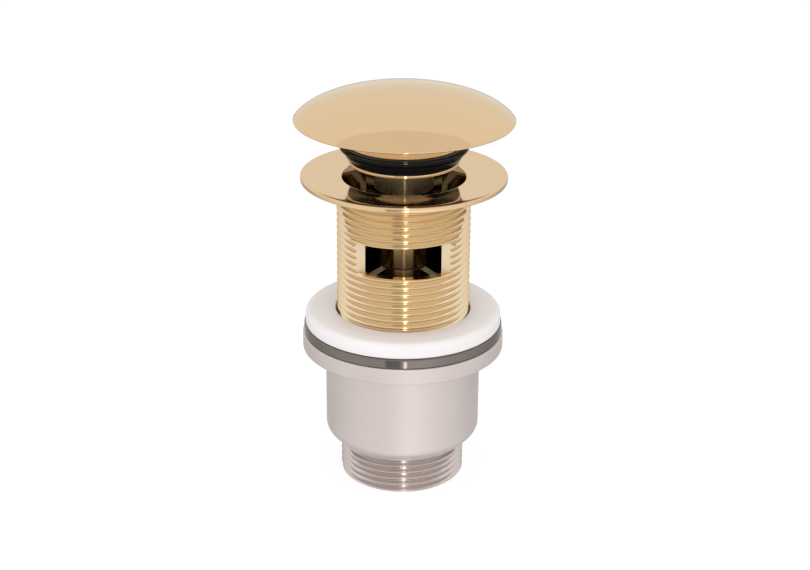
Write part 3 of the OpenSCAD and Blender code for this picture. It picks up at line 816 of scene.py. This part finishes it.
class WASTE_OT_outlet_body(bpy.types.Operator):
    """Model the cup, its flange and the threaded tail"""

    bl_idname = "waste.outlet_body"
    bl_label = "Outlet Body"

    def execute(self, context):
        top, r, bore = high("outlet_body"), radius("outlet_body"), sizes().outlet_bore / MM
        crest, shoulder, overlap = 20.955, 13.0, 0.6
        cup, cup_bore, cup_round, cup_floor = 26.1, 22.24, 4.0, 17.0
        heel, heel_z, heel_soft = 22.5, 17.0, 0.5
        flange_low, fillet, edge, top_edge = top - 5.6, 1.2, 0.6, 0.3
        piece = threaded_bar("outlet_cup", crest, 0.0, shoulder + overlap)
        bevel = [(crest - 1.0, -1.0), (crest + 2, -1.0), (crest + 2, 1.9), (crest - 0.9, -0.05)]
        combine(piece, turn("tail_bevel", bevel), "DIFFERENCE")
        tilt = math.atan((cup - heel) / (heel_z - shoulder))
        run = cup_round * math.tan(tilt / 2)
        outline = [(0.0, shoulder)]
        outline += arc((heel - heel_soft, shoulder + heel_soft), heel_soft, -90, -42, 4)
        outline += arc((cup - cup_round, heel_z + run), cup_round, -math.degrees(tilt), 0, 10)
        outline += arc((cup + fillet, flange_low - fillet), fillet, 180, 90, 6)
        outline += arc((r - edge, flange_low + edge), edge, -90, 0, 6)
        outline += arc((r - top_edge, top - top_edge), top_edge, 0, 90, 4)
        outline += [(0.0, top)]
        combine(piece, turn("cup", outline), "UNION")
        chamfer, below, above = bore + 0.5, -2.0, top + 1
        cut = [(0.0, below), (chamfer, below), (chamfer, -0.1), (bore, 0.6), (bore, shoulder)]
        cut += [(cup_bore, cup_floor), (cup_bore, above), (0.0, above)]
        combine(piece, turn("cup_bore", cut), "DIFFERENCE")
        names = ("satin_nickel", "turned_nickel")
        finish_piece(piece, "outlet", [finish(name) for name in names], "outlet_body", 32)
        for face in piece.data.polygons:
            # The tail below the shoulder takes the darker turned nickel, partly painted shade
            on_tail = face.center.z / MM < shoulder
            face.material_index = names.index("turned_nickel" if on_tail else "satin_nickel")
        return {"FINISHED"}


# Stage


def softbox(name, place, aim, size, power):
    """A rectangular lamp aimed at a point, which metal does not mirror."""
    deselect()
    bpy.ops.object.light_add(type="AREA", location=place)
    lamp = bpy.context.object
    lamp.name = name
    lamp.data.shape = "RECTANGLE"
    lamp.data.size, lamp.data.size_y = size
    lamp.data.energy = power
    lamp.visible_glossy = False
    lamp.rotation_euler = (Vector(aim) - Vector(place)).to_track_quat("-Z", "Y").to_euler()
    return lamp


def studio_world():
    """White for the camera; metal mirrors a pale studio with dim sides, a card and a lit strip in front."""
    world = bpy.data.worlds.new("studio")
    bpy.context.scene.world = world
    world.use_nodes = True
    tree = world.node_tree
    ground = tree.nodes["Background"]
    where = tree.nodes.new("ShaderNodeTexCoord")
    split = tree.nodes.new("ShaderNodeSeparateXYZ")
    tree.links.new(where.outputs["Generated"], split.inputs[0])
    x, y, z = split.outputs

    def times(a, b):
        return maths(tree, "MULTIPLY", a, b)

    def ramp(value, start, end):
        """Runs smoothly from 0 to 1 between two values."""
        node = tree.nodes.new("ShaderNodeMapRange")
        node.interpolation_type = "SMOOTHSTEP"
        tree.links.new(value, node.inputs["Value"])
        node.inputs["From Min"].default_value = start
        node.inputs["From Max"].default_value = end
        return node.outputs["Result"]

    def band(value, start, end, soft):
        """1 between two values, with soft ends."""
        return times(ramp(value, start - soft, start + soft), ramp(value, end + soft, end - soft))

    def dim(level, mask, amount):
        """Takes a share of the level away where the mask is; a share below 0 adds to it."""
        return times(level, maths(tree, "SUBTRACT", 1.0, times(mask, amount)))

    # Angles round the upright count from the front in radians, and heights are sines of the elevation
    around = maths(tree, "ARCTAN2", x, times(y, -1.0))
    curve = 0.79
    bow = maths(tree, "ADD", y, times(maths(tree, "POWER", x, 2.0), curve))
    ceiling = times(ramp(bow, 0.415, 0.405), ramp(z, 0.5, 0.55))
    card = times(band(around, -0.34, -0.03, 0.04), band(z, -0.6, -0.14, 0.03))
    sides = times(ramp(maths(tree, "ABSOLUTE", around), 1.0, 2.6), ramp(z, 0.02, -0.2))
    front = times(band(around, -0.05, 0.7, 0.35), ramp(z, -0.2, -0.32))
    strip = band(around, 0.02, 0.09, 0.02)
    base, front_gain, card_loss, side_loss = 1.04, 0.27, 0.5, 0.42
    level = dim(dim(dim(base, front, -front_gain), card, card_loss), sides, side_loss)
    low_glare, high_glare = 4.2, 1.3
    glare = maths(tree, "ADD", times(ramp(z, -0.27, -0.33), low_glare),
                  times(band(z, 0.05, 0.4, 0.04), high_glare))
    level = maths(tree, "MAXIMUM", level, times(strip, glare))
    light = tree.nodes.new("ShaderNodeLightPath")
    seen, mirror = light.outputs["Is Camera Ray"], light.outputs["Is Glossy Ray"]
    fill, warm_white = 0.68, (0.9, 0.865, 0.83)
    diffuse = times(maths(tree, "SUBTRACT", 1.0, mirror), fill)
    strength = maths(tree, "MAXIMUM", maths(tree, "MAXIMUM", diffuse, times(mirror, level)), seen)
    tone = tint(tree, times(ceiling, mirror), tuple(colours().backdrop), warm_white)
    tree.links.new(tone, ground.inputs["Color"])
    tree.links.new(strength, ground.inputs["Strength"])


def white_floor():
    """A pale floor that keeps the shadow."""
    wide, glow_level, glow_share = 6.0, 1.09, 0.8
    deselect()
    bpy.ops.mesh.primitive_plane_add(size=wide, location=(0, 0, 0))
    floor = bpy.context.object
    floor.name = "floor"
    bpy.ops.object.mode_set(mode="EDIT")
    bpy.ops.mesh.select_all(action="SELECT")
    bpy.ops.mesh.subdivide(number_cuts=2)
    bpy.ops.object.mode_set(mode="OBJECT")
    material, tree, surface = new_material("white_floor")
    glow = tree.nodes.new("ShaderNodeEmission")
    mix = tree.nodes.new("ShaderNodeMixShader")
    light = tree.nodes.new("ShaderNodeLightPath")
    surface.inputs["Base Color"].default_value = (0.9, 0.9, 0.9, 1.0)
    surface.inputs["Roughness"].default_value = 0.9
    seen = maths(tree, "MAXIMUM", light.outputs["Is Camera Ray"], light.outputs["Is Glossy Ray"])
    glow.inputs["Strength"].default_value = glow_level
    tree.links.new(maths(tree, "MULTIPLY", seen, glow_share), mix.inputs["Fac"])
    tree.links.new(surface.outputs[0], mix.inputs[1])
    tree.links.new(glow.outputs[0], mix.inputs[2])
    tree.links.new(mix.outputs[0], tree.nodes["Material Output"].inputs["Surface"])
    floor.data.materials.append(material)
    floor.visible_glossy = False


def strip_light(name, place, size, power, pieces):
    """A narrow light that only the named pieces catch, for the line of light down their fronts."""
    lamp = softbox(name, place, (0, 0, 0.1), size, power)
    lamp.visible_glossy = True
    lamp.visible_camera = False
    catching = bpy.data.collections.new(name + "_pieces")
    for piece in pieces:
        catching.objects.link(bpy.data.objects[piece])
    lamp.light_linking.receiver_collection = catching


class WASTE_OT_stage(bpy.types.Operator):
    """Set the floor, the lights and the camera"""

    bl_idname = "waste.stage"
    bl_label = "Stage"

    def execute(self, context):
        scene = context.scene
        scene.view_settings.view_transform = "Standard"
        studio_world()
        white_floor()
        middle = (0, 0, 0.07)
        softbox("key_light", (-0.02, -1.25, 0.5), middle, size=(0.3, 0.9), power=4.3)
        softbox("top_light", (0.0, -0.2, 1.3), middle, size=(0.9, 0.9), power=5.0)
        strip_light("turned_strip", (0.055, -1.0, 0.34), size=(0.07, 0.4), power=1.2,
                    pieces=("plug_turned_body", "cartridge_barrel", "outlet_cup"))
        strip_light("thread_strip", (0.05, -0.87, 0.76), size=(0.07, 0.5), power=0.9,
                    pieces=("flange_and_tube",))
        deselect()
        rise, roll, distance = math.radians(22.3), math.radians(0.45), 0.5826
        sensor, focal_pixels = 36.0, 1736.0
        aim = Vector((0.0006, 0.0, 0.0676))
        back = Vector((0.0, -math.cos(rise), math.sin(rise)))
        bpy.ops.object.camera_add(location=aim + back * distance)
        camera = bpy.context.object
        camera.name = "photo_camera"
        turn_to = (-back).to_track_quat("-Z", "Y").to_matrix().to_4x4()
        turn_to = turn_to @ Matrix.Rotation(roll, 4, "Z")
        camera.rotation_euler = turn_to.to_euler()
        camera.data.sensor_width = sensor
        camera.data.lens = focal_pixels / IMAGE_SIZE[0] * sensor
        camera.data.clip_start = 0.01
        scene.camera = camera
        return {"FINISHED"}


class WASTE_PT_pieces(bpy.types.Panel):
    """Lists the pieces of the basin waste"""

    bl_label = "Basin Waste"
    bl_idname = "WASTE_PT_pieces"
    bl_space_type = "VIEW_3D"
    bl_region_type = "UI"
    bl_category = "Basin Waste"

    def draw(self, context):
        for step in STEPS:
            self.layout.operator(step.bl_idname)
        for group in (context.scene.waste_sizes, context.scene.waste_colours):
            box = self.layout.box()
            for name in group.__annotations__:
                box.prop(group, name)


STEPS = (WASTE_OT_mushroom_cap, WASTE_OT_plug_body, WASTE_OT_plug_seal, WASTE_OT_flange_tube,
         WASTE_OT_cartridge, WASTE_OT_washers, WASTE_OT_outlet_body, WASTE_OT_stage)
CLASSES = (WasteSizes, WasteColours, *STEPS, WASTE_PT_pieces)


def register():
    for cls in CLASSES:
        bpy.utils.register_class(cls)
    bpy.types.Scene.waste_sizes = bpy.props.PointerProperty(type=WasteSizes)
    bpy.types.Scene.waste_colours = bpy.props.PointerProperty(type=WasteColours)


def unregister():
    del bpy.types.Scene.waste_colours
    del bpy.types.Scene.waste_sizes
    for cls in reversed(CLASSES):
        bpy.utils.unregister_class(cls)


def main():
    register()
    for step in STEPS:
        group, name = step.bl_idname.split(".")
        getattr(getattr(bpy.ops, group), name)()
    deselect()


if __name__ == "__main__":
    main()
